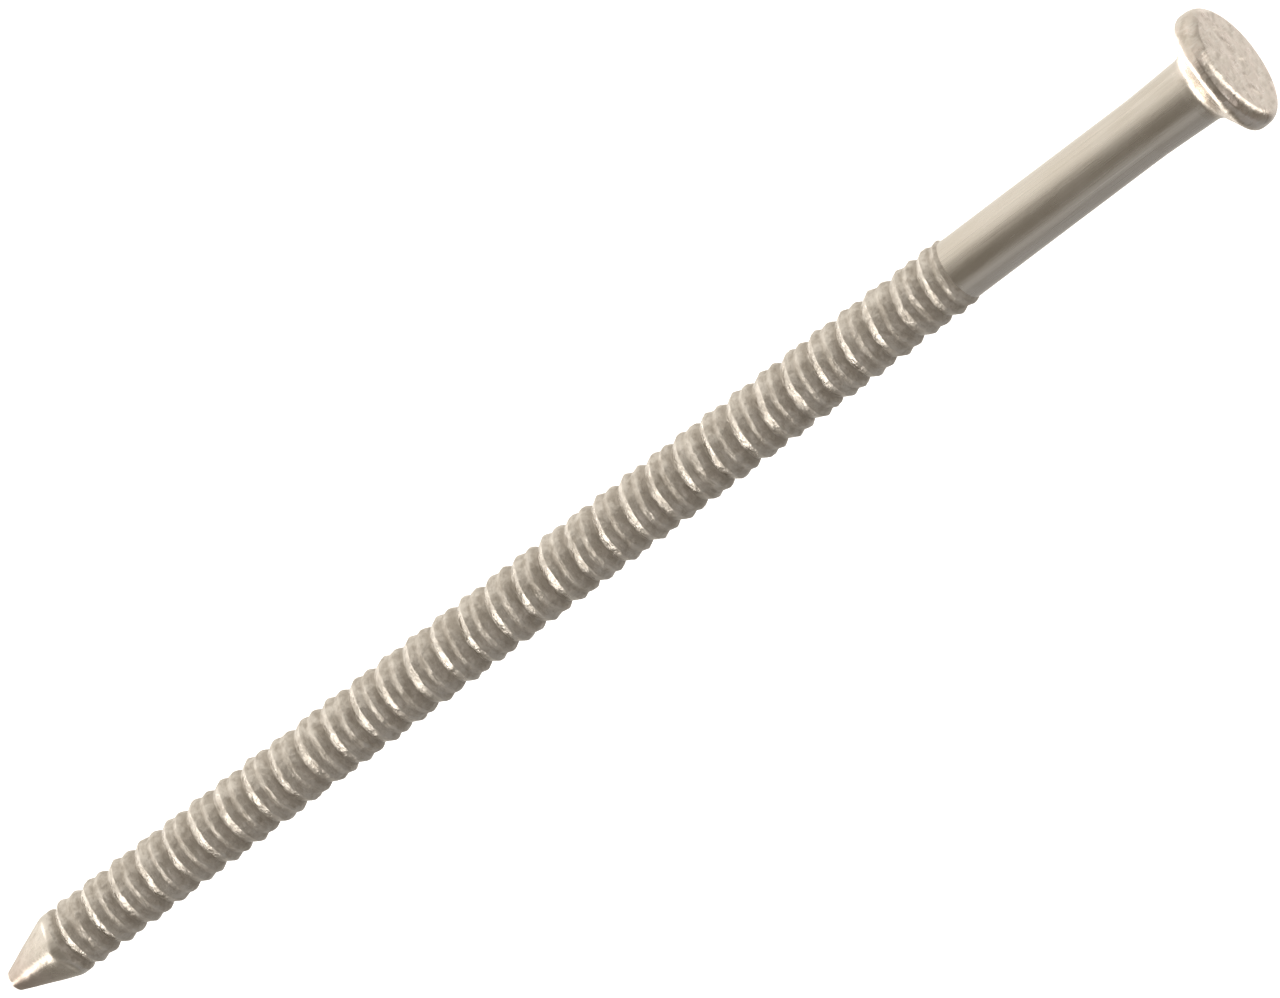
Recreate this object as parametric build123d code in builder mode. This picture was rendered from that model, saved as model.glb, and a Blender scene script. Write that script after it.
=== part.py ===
from build123d import *
import os
from math import cos, radians, tan

# A nail with an annular ring shank and a diamond point, cold formed from one drawn wire.
# It is modelled as its four worked zones, which meet on flat planes square to the wire:
# head, plain shank, ring shank and diamond point.
# Sizes are in millimetres. The origin is the centre of the struck face, +Z points out of
# that face along the wire, and the tip is the lowest point.

# whole nail
nail_length = 65.0  # struck face to tip
wire_diameter = 2.65

# head
head_diameter = 5.55
rim_height = 0.9  # struck face to the corner where the underside starts
face_round = 0.5  # radius between the struck face and the rim
rim_round = 0.42  # radius between the rim and the underside
flare_angle = 32.0  # slope of the underside, in degrees from square to the wire
neck_round = 0.55  # hollow radius where the underside meets the neck
neck_swell = 0.1  # how far the neck stands out of the wire when the head is struck
neck_length = 2.6  # the neck's taper down to the wire

# rings: each pitch is a deep groove, a tall lip, a shallow dip and a low lip, tip to head
ring_count = 33
ring_pitch = 1.432
groove_depth = 0.08  # grooves are this far below the wire, dips and lips stand above it
tall_lip_rise = 0.185
dip_rise = 0.02
low_lip_rise = 0.145
tall_lip_land = 0.08  # cylindrical crest of the tall lip
tall_lip_at = 0.45  # groove to the middle of the tall lip
dip_at = 0.77  # groove to the shallow dip
low_lip_at = 1.08  # groove to the low lip
run_out = 0.2  # last low lip down to the wire
groove_round = 0.11
dip_round = 0.13
lip_round = 0.09

# point
point_length = 3.1
collar_rise = 0.105  # metal that the dies squeeze up round the top of the point
collar_taper = 1.5  # degrees that the collar narrows towards the tip
collar_drop = 0.26  # collar to the middle of the first groove
edge_length = 2.6  # tip to where the edges between the facets meet the collar
facet_length = 2.92  # tip to the shoulder
tip_across_flats = 0.56
facet_crown = 0.02  # how far each facet stands out of flat along its length
shoulder_hollow = 0.03  # hollow of the shoulder between facet and collar
tip_round = 0.12

wire_radius = wire_diameter / 2
head_radius = head_diameter / 2
neck_radius = wire_radius + neck_swell
groove_radius = wire_radius - groove_depth
tall_lip_radius = wire_radius + tall_lip_rise
dip_radius = wire_radius + dip_rise
low_lip_radius = wire_radius + low_lip_rise
collar_radius = wire_radius + collar_rise

# how far the facets stand from the axis: at the tip, where the edges meet the collar, at the shoulder
tip_reach = tip_across_flats / 2
edge_foot_reach = collar_radius * cos(radians(45))
facet_foot_reach = tip_reach + (edge_foot_reach - tip_reach) * facet_length / edge_length

# levels along the wire, from the struck face down
flare_turn = 90 - flare_angle
neck_run = neck_round * tan(radians(flare_turn / 2))
flare_foot = -rim_height - (head_radius - neck_radius) * tan(radians(flare_angle))
neck_top = flare_foot - neck_run
head_foot = neck_top - neck_length
tip = -nail_length
point_top = tip + point_length
first_groove = point_top + collar_drop
last_groove = first_groove + (ring_count - 1) * ring_pitch
ring_top = last_groove + low_lip_at + run_out


def at_radius(sketch, radius):
    """Corners of a half outline that lie at one radius."""
    return sketch.vertices().filter_by_position(Axis.X, radius, radius)


# Head: flat struck face, round rim, sloping underside, hollow and slightly swollen neck,
# turned about the wire.
with BuildPart() as head:
    with BuildSketch(Plane.XZ) as head_half:
        with BuildLine():
            hollow = JernArc((neck_radius, neck_top), (0, 1), neck_round, -flare_turn)
            Polyline(
                hollow @ 1,
                (head_radius, -rim_height),
                (head_radius, 0),
                (0, 0),
                (0, head_foot),
                (wire_radius, head_foot),
                hollow @ 0,
            )
        make_face()
        fillet(at_radius(head_half, head_radius).sort_by(Axis.Y)[0], rim_round)
        fillet(at_radius(head_half, head_radius).sort_by(Axis.Y)[-1], face_round)
    revolve(axis=Axis.Z)
head.part.label = "head"

# Plain shank: the wire as drawn.
with BuildPart() as plain_shank:
    with BuildSketch(Plane.XY.offset(ring_top)):
        Circle(wire_radius)
    extrude(amount=head_foot - ring_top)
plain_shank.part.label = "plain_shank"

# Ring shank: one half outline, with the same corners for every pitch, turned about the wire.
ring_corners = [(0, point_top), (collar_radius, point_top)]
for ring in range(ring_count):
    groove = first_groove + ring * ring_pitch
    ring_corners += [
        (groove_radius, groove),
        (tall_lip_radius, groove + tall_lip_at - tall_lip_land / 2),
        (tall_lip_radius, groove + tall_lip_at + tall_lip_land / 2),
        (dip_radius, groove + dip_at),
        (low_lip_radius, groove + low_lip_at),
    ]
ring_corners += [(wire_radius, ring_top), (0, ring_top)]

with BuildPart() as ring_shank:
    with BuildSketch(Plane.XZ) as ring_half:
        with BuildLine():
            Polyline(*ring_corners, close=True)
        make_face()
        fillet(at_radius(ring_half, groove_radius), groove_round)
        fillet(at_radius(ring_half, dip_radius), dip_round)
        fillet(at_radius(ring_half, low_lip_radius), lip_round)
    revolve(axis=Axis.Z)
ring_shank.part.label = "ring_shank"

# Diamond point: a round blank cut by two crossed wedges, which leaves four facets.
# Their edges lie on X and Y.
with BuildPart() as diamond_point:
    with BuildSketch(Plane.XY.offset(point_top)):
        Circle(collar_radius)
    extrude(amount=-point_length, taper=collar_taper)
    for side in (1, -1):
        with BuildSketch(Plane((0, 0, 0), x_dir=(1, side, 0), z_dir=(side, -1, 0))) as wedge:
            with BuildLine():
                facet_foot = (facet_foot_reach, tip + facet_length)
                tip_corner = (tip_reach, tip)
                Line((0, tip), tip_corner)
                SagittaArc(tip_corner, facet_foot, facet_crown)
                SagittaArc(facet_foot, (collar_radius, point_top), -shoulder_hollow)
                Line((collar_radius, point_top), (0, point_top))
                mirror(about=Plane.YZ)
            make_face()
            fillet(wedge.vertices().group_by(Axis.Y)[0], tip_round)
        extrude(amount=2 * collar_radius, both=True, mode=Mode.INTERSECT)
diamond_point.part.label = "diamond_point"

os.makedirs("parts", exist_ok=True)
export_step(head.part, "parts/head.step")
export_step(plain_shank.part, "parts/plain_shank.step")
export_step(ring_shank.part, "parts/ring_shank.step")
export_step(diamond_point.part, "parts/diamond_point.step")

print("plain shank from", round(head_foot, 3), "to", round(ring_top, 3))
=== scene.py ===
import math
import bpy
import numpy as np
from mathutils import Matrix, Vector


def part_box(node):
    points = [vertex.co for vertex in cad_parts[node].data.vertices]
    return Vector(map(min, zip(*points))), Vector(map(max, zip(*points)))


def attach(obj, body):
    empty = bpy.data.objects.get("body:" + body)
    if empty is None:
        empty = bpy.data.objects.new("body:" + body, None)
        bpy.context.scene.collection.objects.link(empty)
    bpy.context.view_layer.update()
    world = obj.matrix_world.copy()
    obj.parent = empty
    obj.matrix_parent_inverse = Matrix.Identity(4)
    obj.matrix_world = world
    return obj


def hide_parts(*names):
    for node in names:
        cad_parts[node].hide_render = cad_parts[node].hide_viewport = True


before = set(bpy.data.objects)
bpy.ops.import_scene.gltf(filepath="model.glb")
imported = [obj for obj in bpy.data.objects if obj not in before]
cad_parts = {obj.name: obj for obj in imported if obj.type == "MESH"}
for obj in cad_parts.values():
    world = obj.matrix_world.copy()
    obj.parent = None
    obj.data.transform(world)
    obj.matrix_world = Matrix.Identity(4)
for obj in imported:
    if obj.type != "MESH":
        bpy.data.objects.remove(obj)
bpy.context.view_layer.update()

mm = 0.001  # sizes below are in millimetres, meshes are made in metres

# sizes that the four zones share, read from the frame
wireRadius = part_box("plain_shank")[1].x / mm
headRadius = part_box("head")[1].x / mm
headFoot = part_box("head")[0].z / mm
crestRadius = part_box("ring_shank")[1].x / mm
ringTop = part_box("ring_shank")[1].z / mm
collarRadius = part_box("diamond_point")[1].x / mm
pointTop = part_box("diamond_point")[1].z / mm
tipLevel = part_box("diamond_point")[0].z / mm
poleRadius = 0.01  # the last row of points before a piece closes on the axis


# 0 below low, 1 above high, and 3t^2 - 2t^3 on the way, with t the share of the way
def smoothStep(low, high, value):
    t = np.clip((value - low) / (high - low), 0, 1)
    return t * t * (3 - 2 * t)


# Unevenness between -1 and 1 that closes on itself round the wire: the mean of cosines, each with
# a whole number of turns round the wire, a wavelength along it near the given length, and its
# own start.
def wander(angle, level, rng, turns, length):
    total = np.zeros(np.broadcast(angle, level).shape)
    for turn in turns:
        along = rng.uniform(0.4, 1.6) * rng.choice([-1, 1]) * 2 * np.pi / length
        total += np.cos(turn * angle + along * level + rng.uniform(0, 2 * np.pi))
    return total / len(turns)


def anglesRound(columns):
    return np.linspace(0, 2 * np.pi, columns, endpoint=False)[None, :]


# points on a circle arc, from one angle to another in degrees
def arcPoints(centre, radius, start, end, count):
    turn = np.radians(np.linspace(start, end, count))
    return np.stack([centre[0] + radius * np.cos(turn), centre[1] + radius * np.sin(turn)], axis=-1)


# an outline of (radius, level) points walked again in even steps of its own length
def walk(outline, step):
    run = np.concatenate([[0], np.cumsum(np.hypot(*np.diff(outline, axis=0).T))])
    at = np.linspace(0, run[-1], int(round(run[-1] / step)) + 1)
    return np.interp(at, run, outline[:, 0])[:, None], np.interp(at, run, outline[:, 1])[:, None]


# A closed skin round Z from two grids, rows down the piece and columns round it. A point is
# (radius cos a, radius sin a, level). Each end gets a small row beside the axis, unless the
# outline already starts with one, and closes on one point of the axis.
def turnedPiece(name, radius, level, sharpAngle=50):
    added = 0 if radius[0].max() <= poleRadius else 1
    radius = np.concatenate([radius[:added] * 0 + poleRadius, radius, radius[-1:] * 0 + poleRadius])
    level = np.concatenate([level[:added], level, level[-1:]]) + 0 * radius
    rows, columns = radius.shape
    angle = anglesRound(columns)
    grid = np.stack([radius * np.cos(angle), radius * np.sin(angle), level], axis=-1).reshape(-1, 3)
    poles = np.array([[0, 0, level[0].mean()], [0, 0, level[-1].mean()]])
    points = np.concatenate([grid, poles]) * mm

    here = np.arange(columns)
    after = (here + 1) % columns
    row = np.arange(rows - 1)[:, None] * columns
    quads = np.stack([row + here, row + columns + here, row + columns + after, row + after], axis=-1)
    topPole, bottomPole, lastRow = rows * columns, rows * columns + 1, (rows - 1) * columns
    topFan = np.stack([np.full(columns, topPole), here, after], axis=-1)
    bottomFan = np.stack([np.full(columns, bottomPole), lastRow + after, lastRow + here], axis=-1)
    faces = quads.reshape(-1, 4).tolist() + topFan.tolist() + bottomFan.tolist()

    mesh = bpy.data.meshes.new(name)
    mesh.from_pydata(points.tolist(), [], faces)
    mesh.polygons.foreach_set("use_smooth", np.ones(len(faces), bool))
    mesh.set_sharp_from_angle(angle=math.radians(sharpAngle))
    mesh.update()
    piece = bpy.data.objects.new(name, mesh)
    bpy.context.scene.collection.objects.link(piece)
    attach(piece, "root")
    print("made", name, "with", len(faces), "faces")
    return piece


headForm = {
    "seed": 7,
    "rimHeight": 0.9,  # struck face to the corner of the underside
    "faceRound": 0.5,
    "rimRound": 0.42,
    "flareAngle": 32.0,  # slope of the underside, from square to the wire
    "neckRound": 0.55,
    "neckRadius": 1.425,
    "neckLength": 2.6,  # taper from the neck down to the wire
    "faceCrown": 0.05,  # the edge of the struck face falls this far
    "crownLevels": (-0.6, -0.1),  # and the fall fades out down the rim
    "faceLevels": (-0.06, -0.002),  # the rim's edge turns into the struck face
    "dentDepth": 0.03,
    "dentCount": 14,
    "dentAway": (0.2, 2.3),  # from the axis
    "dentLong": (0.25, 0.9),
    "dentWide": (0.12, 0.3),
    "dentShare": (0.3, 1),  # of the full depth
    "dentMost": 1.5,  # where dents overlap
    "rimWander": 0.035,  # the rim is this far out of round
    "rimTurns": (1, 2, 3, 3, 5),
    "rimLength": 4.0,
    "rimFlat": 0.07,  # and pressed in on the -X side
    "flatReach": (0.2, 1),  # share of -X where the flat starts and is full
    "rimRadii": (1.7, 2.5),  # the unevenness comes in outwards
    "faceRadii": (2.5, 1.9),  # and on the struck face it stays at the very edge
    "askew": 0.17,  # the underside is out of square, nearest the face at -Y
    "droop": 0.12,  # and lower on the X sides
    "skewLevels": (-0.15, -0.75),  # the skew comes in below the face
    "skewEnd": (1.2, 2.2),  # and goes out this far above the foot
    "arcPoints": (18, 14, 18),  # edge, rim round and neck
    "columns": 200,
    "step": 0.035,
}


# The head's outline carried round the wire: face, quarter-round edge, rim, round, sloping
# underside, hollow neck and its taper. Radius = outline's radius + the rim's unevenness.
# Level = outline's level + the underside's skew - a shallow crown - dents, each a soft pit.
def struckHead():
    form = headForm
    rng = np.random.default_rng(form["seed"])
    flareTurn = 90 - form["flareAngle"]
    rimRun = form["rimRound"] * math.tan(math.radians(flareTurn / 2))
    rimCentre = (headRadius - form["rimRound"], rimRun - form["rimHeight"])
    neckCentre = (form["neckRadius"] + form["neckRound"], headFoot + form["neckLength"])
    faceCentre = (headRadius - form["faceRound"], -form["faceRound"])
    facePoints, rimPoints, neckPoints = form["arcPoints"]
    outline = np.concatenate([
        [(poleRadius, 0)],
        arcPoints(faceCentre, form["faceRound"], 90, 0, facePoints),
        arcPoints(rimCentre, form["rimRound"], 0, -flareTurn, rimPoints),
        arcPoints(neckCentre, form["neckRound"], 180 - flareTurn, 180, neckPoints),
        [(wireRadius, headFoot)],
    ])
    radius, level = walk(outline, form["step"])
    angle = anglesRound(form["columns"])
    flat = smoothStep(*form["faceLevels"], level)
    onRim = smoothStep(*form["rimRadii"], radius) * (1 - flat * smoothStep(*form["faceRadii"], radius))
    wobble = wander(angle, level * 0, rng, form["rimTurns"], form["rimLength"])
    x, y = radius * np.cos(angle), radius * np.sin(angle)
    dents = 0
    for dent in range(form["dentCount"]):
        away = rng.uniform(*form["dentAway"])
        around = rng.uniform(0, 2 * np.pi)
        lean = rng.uniform(0, np.pi)
        long = rng.uniform(*form["dentLong"])
        wide = rng.uniform(*form["dentWide"])
        across = (x - away * np.cos(around)) * np.cos(lean) + (y - away * np.sin(around)) * np.sin(lean)
        along = (y - away * np.sin(around)) * np.cos(lean) - (x - away * np.cos(around)) * np.sin(lean)
        pit = np.exp(-((across / wide) ** 2) - (along / long) ** 2)
        dents = dents + rng.uniform(*form["dentShare"]) * pit
    crown = form["faceCrown"] * (radius / headRadius) ** 2 * smoothStep(*form["crownLevels"], level)
    sink = crown + flat * form["dentDepth"] * np.minimum(dents, form["dentMost"])
    foot, top = form["skewEnd"]
    under = smoothStep(*form["skewLevels"], level) * smoothStep(headFoot + foot, headFoot + top, level)
    lift = -(form["askew"] * np.sin(angle) + form["droop"] * np.cos(angle) ** 2) * under
    pressed = form["rimFlat"] * smoothStep(*form["flatReach"], -np.cos(angle))
    out = form["rimWander"] * (wobble - 1) / 2 - pressed
    return turnedPiece("struckHead", radius + out * onRim, level + lift - sink)


shankForm = {
    "seed": 11,
    "columns": 128,
    "step": 0.12,
    "wander": 0.010,  # the drawn wire is this far out of round
    "turns": (0, 1, 2, 3, 5),
    "length": 9.0,
    "fade": (0.8, 0.5),  # and runs true this near its upper and lower ends
}


# A cylinder whose radius wanders by up to ten microns, always inwards, as a drawn wire's does.
def drawnShank():
    form = shankForm
    rng = np.random.default_rng(form["seed"])
    levels = np.linspace(headFoot, ringTop, int(round((headFoot - ringTop) / form["step"])))[:, None]
    angle = anglesRound(form["columns"])
    upper, lower = form["fade"]
    ends = smoothStep(headFoot, headFoot - upper, levels) * smoothStep(ringTop, ringTop + lower, levels)
    uneven = wander(angle, levels, rng, form["turns"], form["length"])
    return turnedPiece("drawnShank", wireRadius + form["wander"] * (uneven - 1) / 2 * ends, levels)


ringForm = {
    "seed": 23,
    "count": 33,
    "pitch": 1.432,
    "collarDrop": 0.26,  # collar to the first groove
    # radius and height above the groove, tip to head
    "groove": (1.245, 0.0),
    "tallLip": (1.51, 0.45),
    "dip": (1.362, 0.77),
    "lowLip": (1.47, 1.08),
    "collarLand": 0.06,  # the collar runs on this far
    "runOut": 0.03,  # the last lip is down to the wire this far below the top
    "softness": 0.05,  # the outline is averaged this far up and down
    "softTaps": 15,
    "softFall": 0.8,  # how much less the ends of that average weigh
    "radiusSpread": 0.016,  # how one lip differs from the next
    "heightSpread": 0.022,
    "lipRagged": 0.034,  # torn edge of each lip
    "raggedTurns": (2, 3, 5, 7, 9, 11, 13, 16, 19),
    "raggedLength": 0.9,  # in pitches
    "lipMargin": 0.03,  # above the wire and under the crest, where the tearing starts and is full
    "raggedMiddle": 0.6,  # torn away more than added
    "lipLean": 0.055,  # lips lean and waver along the wire
    "leanTurns": (1, 1, 2, 3, 4, 7),
    "leanLength": 5.0,
    "tilt": 0.12,  # the middle and upper rings sit this much out of square, towards -X
    "tiltHeights": (8, 24),  # above the point, where the tilt starts and is full
    "flankWaves": 0.013,
    "flankTurns": (4, 6, 9, 12, 15, 18),
    "flankLength": 0.6,
    "fade": 0.3,  # all unevenness stops this near the ends
    "fineRows": 12000,
    "rows": 760,
    "columns": 120,
    "bendWeight": 0.35,  # how much closer rows stand where the outline bends
    "bendMost": 30,
}


# Rings pressed into the wire. From tip to head each pitch rises gently from a groove to a tall
# lip, falls to a dip, rises to a low lip and drops into the next groove. Radius = softened
# outline + raggedness of the lips + shallow waves of the flanks; level = row's level + a lean.
# Rows stand closer together where the outline bends.
def rolledRings():
    form = ringForm
    rng = np.random.default_rng(form["seed"])
    first = pointTop + form["collarDrop"]
    beyond = 0.1  # the outline runs past both ends, so that it can be averaged there
    corners = [(collarRadius, pointTop - beyond), (collarRadius, pointTop + form["collarLand"])]
    for ring in range(form["count"]):
        for stop in ("groove", "tallLip", "dip", "lowLip"):
            stopRadius, stopHeight = form[stop]
            corners.append((
                stopRadius - abs(rng.normal(0, form["radiusSpread"])),
                first + ring * form["pitch"] + stopHeight + rng.normal(0, form["heightSpread"]),
            ))
    corners += [(wireRadius, ringTop - form["runOut"]), (wireRadius, ringTop + beyond)]
    corners = np.array(corners)

    fine = np.linspace(ringTop, pointTop, form["fineRows"])
    window = np.linspace(-1, 1, form["softTaps"])
    weight = 1 - window ** 2 * form["softFall"]
    nearby = np.interp(fine[:, None] + window * form["softness"], corners[:, 1], corners[:, 0])
    soft = nearby @ weight / weight.sum()
    bend = np.abs(np.gradient(np.gradient(soft, fine), fine))
    run = np.cumsum(1 + form["bendWeight"] * np.minimum(bend, form["bendMost"]))
    levels = np.interp(np.linspace(run[0], run[-1], form["rows"]), run, fine)[:, None]
    radius = np.interp(-levels, -fine, soft)
    radius[0], radius[-1] = wireRadius, collarRadius

    angle = anglesRound(form["columns"])
    fade, margin = form["fade"], form["lipMargin"]
    ends = smoothStep(ringTop, ringTop - fade, levels) * smoothStep(pointTop, pointTop + fade, levels)
    proud = smoothStep(wireRadius + margin, crestRadius - margin, radius) * ends
    ragged = wander(angle, levels, rng, form["raggedTurns"], form["pitch"] * form["raggedLength"])
    radius = radius + form["lipRagged"] * (ragged - form["raggedMiddle"]) * proud
    waves = wander(angle, levels, rng, form["flankTurns"], form["flankLength"])
    radius = radius + form["flankWaves"] * waves * ends
    radius = np.minimum(radius, crestRadius)
    lean = form["lipLean"] * wander(angle, levels, rng, form["leanTurns"], form["leanLength"])
    start, full = form["tiltHeights"]
    tilted = form["tilt"] * smoothStep(pointTop + start, pointTop + full, levels) * np.cos(angle)
    lean = (lean - tilted) * ends
    return turnedPiece("rolledRings", radius, levels + lean, sharpAngle=70)


pointForm = {
    "seed": 5,
    "tipReach": 0.28,  # h at the tip, where the edges stand 1.41 times as far out
    "facetCrown": 0.02,  # h is this much more half way up
    "facetTop": 0.99,  # how near the facets' middles come to the collar before the shoulder
    "edgeSharpness": 2.9,  # the higher, the sharper the four edges
    "tipRound": 0.15,
    "tipRows": (0.6, 0.3, 0.12, 0.03, 0),  # rows in the round, as shares of it
    "blend": 60.0,  # the higher, the sharper the corner between facets and collar
    "shoulder": 0.4,  # height over which the facets rise to the collar
    "dents": 0.012,
    "dentTurns": (1, 2, 3, 5, 7),
    "dentLength": 1.6,
    "dentsFade": (0.6, 0.3),  # none at the tip nor at the collar
    "columns": 192,
    "step": 0.03,
}


# Four facets with round edges on X and Y. The radius at angle a is
# 2^(1/n) h / (|cos b|^n + |sin b|^n)^(1/n), with b = a + 45 degrees: the edges stand at 1.41 h for
# every n, and a higher n makes the facets flatter. Up the point h grows evenly, with a slight
# crown. A soft minimum holds the radius under the collar's, and the shoulder lifts it to the
# collar. The tip ends in a small flat with a round edge.
def pinchedPoint():
    form = pointForm
    rng = np.random.default_rng(form["seed"])
    depth = pointTop - tipLevel
    above = np.linspace(depth, 0, int(round(depth / form["step"])) + 1)
    above = np.concatenate([above[:-1], form["tipRound"] * np.array(form["tipRows"])])[:, None]
    above = np.sort(above, axis=0)[::-1]
    n = form["edgeSharpness"]
    share = above / depth
    topReach = form["facetTop"] * collarRadius / 2 ** (1 / n)
    facet = form["tipReach"] + (topReach - form["tipReach"]) * share
    facet = facet + form["facetCrown"] * 4 * share * (1 - share)
    sunk = np.clip(1 - above / form["tipRound"], 0, 1)
    nearlyAll = 0.999  # leaves a small flat at the very tip
    facet = facet - form["tipRound"] * (1 - np.sqrt(1 - sunk ** 2 * nearlyAll))
    angle = anglesRound(form["columns"])
    turned = angle + math.pi / 4
    radius = facet * ((np.abs(np.cos(turned)) ** n + np.abs(np.sin(turned)) ** n) / 2) ** (-1 / n)
    uneven = wander(angle, above, rng, form["dentTurns"], form["dentLength"])
    tipFade, collarFade = form["dentsFade"]
    dented = form["dents"] * uneven * smoothStep(0, tipFade, above)
    radius = radius + dented * smoothStep(depth, depth - collarFade, above)
    blend = form["blend"]
    radius = -np.log(np.exp(-blend * radius) + np.exp(-blend * collarRadius)) / blend
    radius = radius + (collarRadius - radius) * smoothStep(depth - form["shoulder"], depth, above)
    return turnedPiece("pinchedPoint", radius, tipLevel + above + 0 * angle, sharpAngle=60)


# One procedural steel: the shader and the few node chains that the finishes share. Patterns
# sit on Object coordinates, scales are in waves per millimetre and heights in millimetres.
class steel:
    def __init__(self, name):
        self.material = bpy.data.materials.new(name)
        self.material.use_nodes = True
        self.nodes = self.material.node_tree.nodes
        self.links = self.material.node_tree.links
        self.shader = self.nodes["Principled BSDF"]
        self.shader.inputs["Metallic"].default_value = 1.0
        self.coordinates = self.nodes.new("ShaderNodeTexCoord")
        self.place = self.coordinates.outputs["Object"]

    def join(self, value, socket):
        if isinstance(value, tuple):
            socket.default_value = (*value, 1)
        elif isinstance(value, (int, float)):
            socket.default_value = value
        else:
            self.links.new(value, socket)

    def noise(self, scale, detail=3.0, rough=0.55, stretch=(1, 1, 1)):
        mapping = self.nodes.new("ShaderNodeMapping")
        mapping.inputs["Scale"].default_value = [scale * share / mm for share in stretch]
        self.links.new(self.place, mapping.inputs["Vector"])
        noise = self.nodes.new("ShaderNodeTexNoise")
        noise.inputs["Scale"].default_value = 1.0
        noise.inputs["Detail"].default_value = detail
        noise.inputs["Roughness"].default_value = rough
        self.links.new(mapping.outputs["Vector"], noise.inputs["Vector"])
        return noise.outputs["Fac"]

    # 0 to 1 from an inner to an outer distance from the wire's axis
    def outward(self, inner, outer):
        flat, length = self.nodes.new("ShaderNodeVectorMath"), self.nodes.new("ShaderNodeVectorMath")
        flat.operation, length.operation = "MULTIPLY", "LENGTH"
        flat.inputs[1].default_value = (1, 1, 0)
        self.links.new(self.place, flat.inputs[0])
        self.links.new(flat.outputs["Vector"], length.inputs[0])
        return self.spread(length.outputs["Value"], 0, 1, inner * mm, outer * mm)

    # 1 where the surface faces the tip, 0 where it faces out or towards the head
    def tipward(self, full, none):
        split = self.nodes.new("ShaderNodeSeparateXYZ")
        self.links.new(self.coordinates.outputs["Normal"], split.inputs["Vector"])
        return self.spread(split.outputs["Z"], 1, 0, full, none)

    # 0 to 1 from a lower to a higher level along the wire
    def upward(self, low, high):
        split = self.nodes.new("ShaderNodeSeparateXYZ")
        self.links.new(self.place, split.inputs["Vector"])
        return self.spread(split.outputs["Z"], 0, 1, low * mm, high * mm)

    def spread(self, value, low, high, start=0.3, end=0.7):
        node = self.nodes.new("ShaderNodeMapRange")
        for socket, number in zip(("From Min", "From Max", "To Min", "To Max"), (start, end, low, high)):
            node.inputs[socket].default_value = number
        self.links.new(value, node.inputs["Value"])
        return node.outputs["Result"]

    def math(self, kind, a, b):
        node = self.nodes.new("ShaderNodeMath")
        node.operation = kind
        self.join(a, node.inputs[0])
        self.join(b, node.inputs[1])
        return node.outputs["Value"]

    # sum of patterns, each given with its height
    def heights(self, *layers):
        total = 0.0
        for pattern, height in layers:
            total = self.math("ADD", total, self.math("MULTIPLY", pattern, height))
        return total

    def blend(self, factor, a, b, kind="RGBA"):
        node = self.nodes.new("ShaderNodeMix")
        node.data_type = kind
        sockets = {socket.name: socket for socket in node.inputs if socket.enabled}
        self.join(factor, sockets["Factor"])
        self.join(a, sockets["A"])
        self.join(b, sockets["B"])
        return next(socket for socket in node.outputs if socket.enabled)

    def finish(self, colour, roughness, height):
        bump = self.nodes.new("ShaderNodeBump")
        bump.inputs["Strength"].default_value = 1.0
        bump.inputs["Distance"].default_value = mm
        self.links.new(height, bump.inputs["Height"])
        self.links.new(colour, self.shader.inputs["Base Color"])
        self.links.new(roughness, self.shader.inputs["Roughness"])
        self.links.new(bump.outputs["Normal"], self.shader.inputs["Normal"])
        return self.material


# base colours of the stainless wire
brightSteel = (0.71, 0.66, 0.60)
plainSteel = (0.63, 0.575, 0.505)
duskySteel = (0.43, 0.38, 0.32)
rosySteel = (0.71, 0.615, 0.55)
burntSteel = (0.40, 0.31, 0.26)


# In the finishes below a pattern is its scale, detail, roughness and stretch along X, Y and Z.
# A stain is the share of another colour, from and to, and the pattern levels between which it comes.
drawnFinish = {
    "lines": (6.0, 4, 0.65, (1, 1, 0.015)),
    "blotch": (0.55, 4, 0.6, (1, 1, 0.5)),
    "waves": (1.6, 3, 0.5, (1, 1, 0.35)),
    "pits": (9.0, 2, 0.5, (1, 1, 0.6)),
    "lineStain": (0, 0.35, 0.5, 0.75),
    "roughness": (0.20, 0.30),
    "lineRoughness": (-0.03, 0.07),
    "lineHeight": 0.006,
    "waveHeight": 0.014,
    "pitHeight": 0.0016,
}


# drawn wire: long fine die lines and faint stains
def drawnLook(make):
    form = drawnFinish
    lines = make.noise(*form["lines"])
    blotch = make.noise(*form["blotch"])
    colour = make.blend(make.spread(blotch, 0, 1), plainSteel, brightSteel)
    colour = make.blend(make.spread(lines, *form["lineStain"]), colour, duskySteel)
    stained = make.spread(blotch, *form["roughness"])
    roughness = make.math("ADD", stained, make.spread(lines, *form["lineRoughness"]))
    waves = make.noise(*form["waves"])
    pits = make.noise(*form["pits"])
    layers = (lines, form["lineHeight"]), (waves, form["waveHeight"]), (pits, form["pitHeight"])
    return colour, roughness, make.heights(*layers)


struckFinish = {
    "blotch": (1.1, 2.5, 0.5),
    "patch": (2.4, 2, 0.5, (1, 0.6, 1)),
    "grit": (7.0, 3),
    "scratchOneWay": (2.2, 2, 0.5, (5, 0.5, 1)),
    "scratchOther": (2.0, 2, 0.5, (0.5, 5, 1)),
    "patchStain": (0, 0.6, 0.48, 0.68),
    "scratchShine": (0, 0.8, 0.56, 0.68),
    "roughness": (0.36, 0.27),
    "gritRoughness": (-0.05, 0.06),
    "blotchHeight": 0.08,
    "patchHeight": 0.03,
    "scratchHeight": 0.012,
    "gritHeight": 0.003,
    "neckLevels": (-2.2, -1.5),  # where the struck look takes over from the drawn look
}


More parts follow.
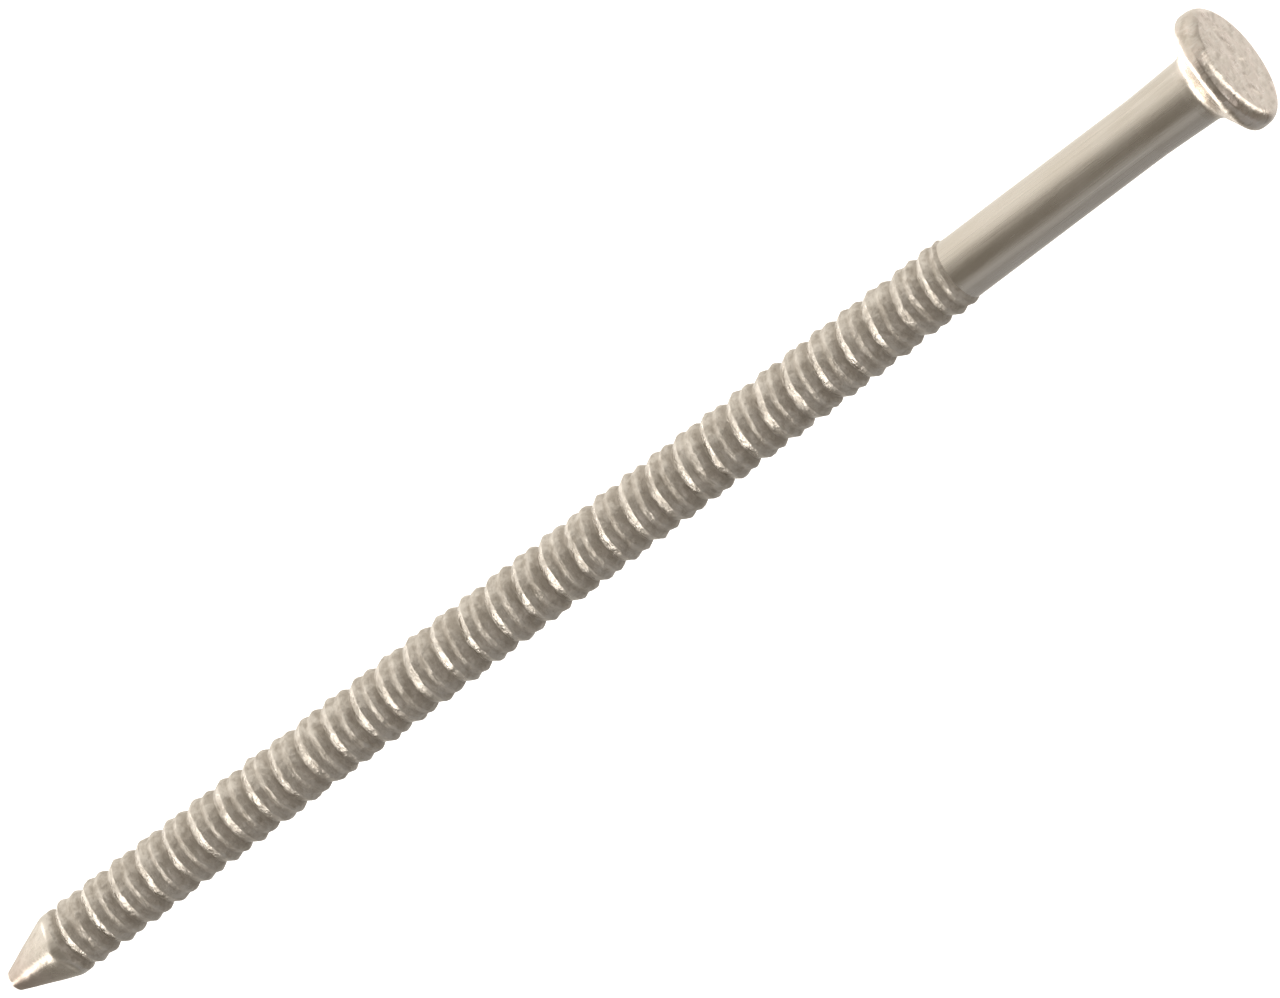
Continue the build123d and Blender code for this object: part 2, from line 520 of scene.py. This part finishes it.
# struck and worn: blotches, grit and fine scratches both ways
def struckLook(make):
    form = struckFinish
    blotch = make.noise(*form["blotch"])
    patch = make.noise(*form["patch"])
    grit = make.noise(*form["grit"])
    oneWay = make.noise(*form["scratchOneWay"])
    scratch = make.math("MAXIMUM", oneWay, make.noise(*form["scratchOther"]))
    colour = make.blend(make.spread(blotch, 0, 1), plainSteel, rosySteel)
    colour = make.blend(make.spread(patch, *form["patchStain"]), colour, duskySteel)
    colour = make.blend(make.spread(scratch, *form["scratchShine"]), colour, brightSteel)
    stained = make.spread(blotch, *form["roughness"])
    roughness = make.math("ADD", stained, make.spread(grit, *form["gritRoughness"]))
    height = make.heights(
        (blotch, form["blotchHeight"]),
        (patch, form["patchHeight"]),
        (scratch, form["scratchHeight"]),
        (grit, form["gritHeight"]),
    )
    return colour, roughness, height


def drawnSteel():
    make = steel("drawnSteel")
    return make.finish(*drawnLook(make))


# the struck look of the head fades into the drawn look down the neck
def struckSteel():
    make = steel("struckSteel")
    share = make.upward(*struckFinish["neckLevels"])
    drawn, struck = drawnLook(make), struckLook(make)
    return make.finish(
        make.blend(share, drawn[0], struck[0]),
        make.blend(share, drawn[1], struck[1], "FLOAT"),
        make.blend(share, drawn[2], struck[2], "FLOAT"),
    )


rolledFinish = {
    # tip-facing flanks get a lower roughness and a lighter colour, which is a painted highlight where the
    # low strip glints
    "flank": (-0.55, -0.2),  # facing the tip this much is a flank in full, or not at all
    "blotch": (1.2, 5, 0.65),
    "grain": (3.4, 4, 0.6, (0.6, 0.6, 2.0)),
    "chips": (2.6, 3, 0.55),
    "blotchWear": (-0.35, 0.35),
    "chipWear": (-0.45, 0.35),
    "sheenAndWearColour": (0.45, 1.1, 0.1, 0.95),
    "grainStain": (0, 0.5, 0.5, 0.7),
    "roughness": (0.64, 0.47, 0.1, 0.95),
    "grainRoughness": (-0.05, 0.07),
    "flankRoughness": 0.24,
    "blotchHeight": 0.09,
    "grainHeight": 0.045,
    "chipHeight": 0.07,
}


# rolled rings: smoother tip-facing flanks with a painted highlight, the rest dull, lighter lips and darker
# grooves, torn grain round the wire
def rolledSteel():
    form = rolledFinish
    make = steel("rolledSteel")
    height = make.outward(ringForm["groove"][0], crestRadius)
    flank = make.tipward(*form["flank"])
    blotch = make.noise(*form["blotch"])
    grain = make.noise(*form["grain"])
    chips = make.noise(*form["chips"])
    # out on the lips or facing the tip; on the tip-facing flanks the lighter colour below is a painted
    # highlight
    proud = make.math("MAXIMUM", height, flank)
    sheenAndWear = make.math("ADD", proud, make.spread(blotch, *form["blotchWear"]))
    sheenAndWear = make.math("ADD", sheenAndWear, make.spread(chips, *form["chipWear"]))
    # dusky to bright by this mask: darker in grooves and dips, lighter on the lips, and a painted
    # highlight on the tip-facing flanks
    colour = make.blend(make.spread(sheenAndWear, *form["sheenAndWearColour"]), duskySteel, brightSteel)
    colour = make.blend(make.spread(grain, *form["grainStain"]), colour, duskySteel)
    worn = make.spread(sheenAndWear, *form["roughness"])
    dull = make.math("ADD", worn, make.spread(grain, *form["grainRoughness"]))
    roughness = make.blend(flank, dull, form["flankRoughness"], "FLOAT")
    layers = (blotch, form["blotchHeight"]), (grain, form["grainHeight"]), (chips, form["chipHeight"])
    return make.finish(colour, roughness, make.heights(*layers))


pinchedFinish = {
    "lines": (4.5, 3, 0.6, (1, 1, 0.12)),
    "blotch": (0.9, 4, 0.6),
    "chips": (1.8, 3, 0.55),
    "lineStain": (0, 0.6, 0.48, 0.75),
    "burntHeight": 2.6,  # browned up to here from the tip
    "burntShare": (0.4, 1),
    "roughness": (0.22, 0.34),
    "lineRoughness": (-0.03, 0.06),
    "lineHeight": 0.008,
    "chipHeight": 0.03,
}


# pinched point: facets pressed by dies, drag lines towards the tip, browned at the end
def pinchedSteel():
    form = pinchedFinish
    make = steel("pinchedSteel")
    lines = make.noise(*form["lines"])
    blotch = make.noise(*form["blotch"])
    colour = make.blend(make.spread(blotch, 0, 1), plainSteel, brightSteel)
    colour = make.blend(make.spread(lines, *form["lineStain"]), colour, duskySteel)
    nearTip = make.upward(tipLevel + form["burntHeight"], tipLevel)
    burnt = make.math("MULTIPLY", nearTip, make.spread(blotch, *form["burntShare"]))
    colour = make.blend(burnt, colour, burntSteel)
    stained = make.spread(blotch, *form["roughness"])
    roughness = make.math("ADD", stained, make.spread(lines, *form["lineRoughness"]))
    chips = make.noise(*form["chips"])
    layers = (lines, form["lineHeight"]), (chips, form["chipHeight"])
    return make.finish(colour, roughness, make.heights(*layers))


cameraForm = {
    "elevation": 21.9,
    "roll": 52.97,
    "distance": 1.2,  # in metres
    "scale": 0.03932,  # millimetres across one of the frame's columns
    "frameWide": 1280,
    "sensor": 36.0,
    "clip": (0.05, 20),
    "alongNail": -4.5,  # nudges of the aim, in columns, along the nail and across it
    "rightward": 17.5,
    "upward": 24.0,
}


def nailCamera():
    form = cameraForm
    rise, roll = math.radians(form["elevation"]), math.radians(form["roll"])
    back = Vector((0, -math.cos(rise), math.sin(rise)))
    side, up = Vector((1, 0, 0)), Vector((0, math.sin(rise), math.cos(rise)))
    right = side * math.cos(roll) + up * math.sin(roll)
    top = up * math.cos(roll) - side * math.sin(roll)
    column = form["scale"] * mm
    data = bpy.data.cameras.new("camera")
    data.sensor_width = form["sensor"]
    data.lens = form["sensor"] * form["distance"] / (form["frameWide"] * column)
    data.clip_start, data.clip_end = form["clip"]
    middle = Vector((0, 0, tipLevel / 2 * mm))
    aim = middle + (right * form["rightward"] + top * form["upward"] - up * form["alongNail"]) * column
    camera = bpy.data.objects.new("camera", data)
    turned = Matrix((right, top, back)).transposed().to_4x4()
    camera.matrix_world = Matrix.Translation(aim + back * form["distance"]) @ turned
    bpy.context.scene.collection.objects.link(camera)
    bpy.context.scene.camera = camera
    print("camera set")


# Softboxes round the nail. Azimuth turns from the front towards +X, in degrees. A box is full
# bright within its inner angle and dark beyond its outer one, and narrow or flat squeeze it
# sideways or in height.
lamps = [
    {"name": "left softbox", "azimuth": -112, "elevation": -32, "inner": 28, "outer": 106,
     "flat": 1.0, "strength": 0.85, "colour": (1.0, 0.98, 0.92)},
    {"name": "upper left box", "azimuth": -100, "elevation": 42, "inner": 18, "outer": 58,
     "strength": 0.5, "colour": (1.0, 0.98, 0.94)},
    {"name": "lower left box", "azimuth": -105, "elevation": -50, "inner": 6, "outer": 28,
     "strength": 0.22, "colour": (1.0, 0.98, 1.0)},
    {"name": "low strip", "azimuth": -160, "elevation": -83, "inner": 18, "outer": 47,
     "narrow": 12, "strength": 5.2, "colour": (1.0, 0.97, 0.92)},
    {"name": "top lamp", "azimuth": 160, "elevation": 68, "inner": 28, "outer": 44,
     "narrow": 34, "strength": 3.0, "colour": (1.0, 0.99, 0.95)},
    {"name": "front right lamp", "azimuth": 40, "elevation": 42, "inner": 6, "outer": 24,
     "strength": 0.9, "colour": (1.0, 0.97, 0.97)},
    {"name": "right strip", "azimuth": 60, "elevation": -22, "inner": 3, "outer": 22,
     "strength": 0.24, "colour": (0.92, 0.97, 1.03)},
    {"name": "right wall", "azimuth": 115, "elevation": -12, "inner": 15, "outer": 60,
     "flat": 9, "strength": 0.21, "colour": (0.85, 0.95, 1.1)},
    {"name": "rear wall", "azimuth": 180, "elevation": 4, "inner": 5, "outer": 36,
     "strength": 0.62, "colour": (1.0, 0.97, 0.95)},
]
roomLight = (0.245, 0.225, 0.195)


# The room's light is the sum over the boxes of strength x smooth step of the angle from the
# box's middle x exp(-narrow side^2 - flat height^2). The camera itself sees plain white.
def studioWorld():
    world = bpy.data.worlds.new("studio")
    bpy.context.scene.world = world
    world.use_nodes = True
    nodes, links = world.node_tree.nodes, world.node_tree.links
    nodes.clear()
    direction = nodes.new("ShaderNodeTexCoord").outputs["Generated"]

    def number(kind, *values):
        node = nodes.new("ShaderNodeMath")
        node.operation = kind
        for socket, value in zip(node.inputs, values):
            if isinstance(value, (int, float)):
                socket.default_value = value
            else:
                links.new(value, socket)
        return node.outputs["Value"]

    def along(axis):
        node = nodes.new("ShaderNodeVectorMath")
        node.operation = "DOT_PRODUCT"
        node.inputs[1].default_value = axis
        links.new(direction, node.inputs[0])
        return node.outputs["Value"]

    def vector(kind, a, b, socket):
        node = nodes.new("ShaderNodeVectorMath")
        node.operation = kind
        node.inputs[0].default_value = a if isinstance(a, tuple) else (0, 0, 0)
        if not isinstance(a, tuple):
            links.new(a, node.inputs[0])
        links.new(b, node.inputs[socket])
        return node.outputs["Vector"]

    total = None
    for lamp in lamps:
        turn, rise = math.radians(lamp["azimuth"]), math.radians(lamp["elevation"])
        ahead = (math.sin(turn), -math.cos(turn))
        towards = (ahead[0] * math.cos(rise), ahead[1] * math.cos(rise), math.sin(rise))
        glow = nodes.new("ShaderNodeMapRange")
        glow.interpolation_type = "SMOOTHSTEP"
        glow.inputs["From Min"].default_value = math.cos(math.radians(lamp["outer"]))
        glow.inputs["From Max"].default_value = math.cos(math.radians(lamp["inner"]))
        glow.inputs["To Max"].default_value = lamp["strength"]
        links.new(along(towards), glow.inputs["Value"])
        light = glow.outputs["Result"]
        squeezes = (
            (lamp.get("narrow"), (-ahead[1], ahead[0], 0)),
            (lamp.get("flat"), (-ahead[0] * math.sin(rise), -ahead[1] * math.sin(rise), math.cos(rise))),
        )
        for squeeze, axis in squeezes:
            if squeeze:
                offset = along(axis)
                fade = number("EXPONENT", number("MULTIPLY", number("MULTIPLY", offset, offset), -squeeze))
                light = number("MULTIPLY", light, fade)
        tinted = vector("SCALE", lamp["colour"], light, "Scale")
        total = tinted if total is None else vector("ADD", total, tinted, 1)
    base = nodes.new("ShaderNodeVectorMath")
    base.operation = "ADD"
    base.inputs[1].default_value = roomLight
    links.new(total, base.inputs[0])

    lit, seen = nodes.new("ShaderNodeBackground"), nodes.new("ShaderNodeBackground")
    links.new(base.outputs["Vector"], lit.inputs["Color"])
    seen.inputs["Color"].default_value = (1, 1, 1, 1)
    mix = nodes.new("ShaderNodeMixShader")
    links.new(nodes.new("ShaderNodeLightPath").outputs["Is Camera Ray"], mix.inputs["Fac"])
    links.new(lit.outputs["Background"], mix.inputs[1])
    links.new(seen.outputs["Background"], mix.inputs[2])
    links.new(mix.outputs["Shader"], nodes.new("ShaderNodeOutputWorld").inputs["Surface"])
    world.cycles.sampling_method = "MANUAL"
    world.cycles.sample_map_resolution = 512
    print("studio lit by", len(lamps), "softboxes")


floorForm = {
    "radius": 1.5,  # in metres
    "corners": 96,
    "colour": (0.93, 0.93, 0.92),
    "roughness": 0.9,
    "glow": 0.85,
}


# a pale paper disc at the tip's level, which throws no reflection or shadow on the nail
def paleFloor():
    form = floorForm
    angle = anglesRound(form["corners"])[0]
    x, y = form["radius"] * np.cos(angle), form["radius"] * np.sin(angle)
    rim = np.stack([x, y, 0 * angle + tipLevel * mm], axis=-1)
    mesh = bpy.data.meshes.new("floor")
    mesh.from_pydata(rim.tolist(), [], [list(range(form["corners"]))])
    floor = bpy.data.objects.new("floor", mesh)
    bpy.context.scene.collection.objects.link(floor)
    material = bpy.data.materials.new("palePaper")
    material.use_nodes = True
    shader = material.node_tree.nodes["Principled BSDF"]
    shader.inputs["Base Color"].default_value = (*form["colour"], 1)
    shader.inputs["Roughness"].default_value = form["roughness"]
    shader.inputs["Emission Color"].default_value = (1, 1, 1, 1)
    shader.inputs["Emission Strength"].default_value = form["glow"]
    mesh.materials.append(material)
    floor.visible_glossy = False
    floor.visible_shadow = False


nailCamera()
studioWorld()
paleFloor()
bpy.context.scene.view_settings.view_transform = "Standard"

zones = [
    ("head", struckHead, struckSteel, "struck_steel"),
    ("plain_shank", drawnShank, drawnSteel, "drawn_steel"),
    ("ring_shank", rolledRings, rolledSteel, "rolled_steel"),
    ("diamond_point", pinchedPoint, pinchedSteel, "pinched_steel"),
]
for node, makeShape, makeFinish, slotName in zones:
    piece = makeShape()
    piece.data.materials.append(makeFinish())
    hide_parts(node)
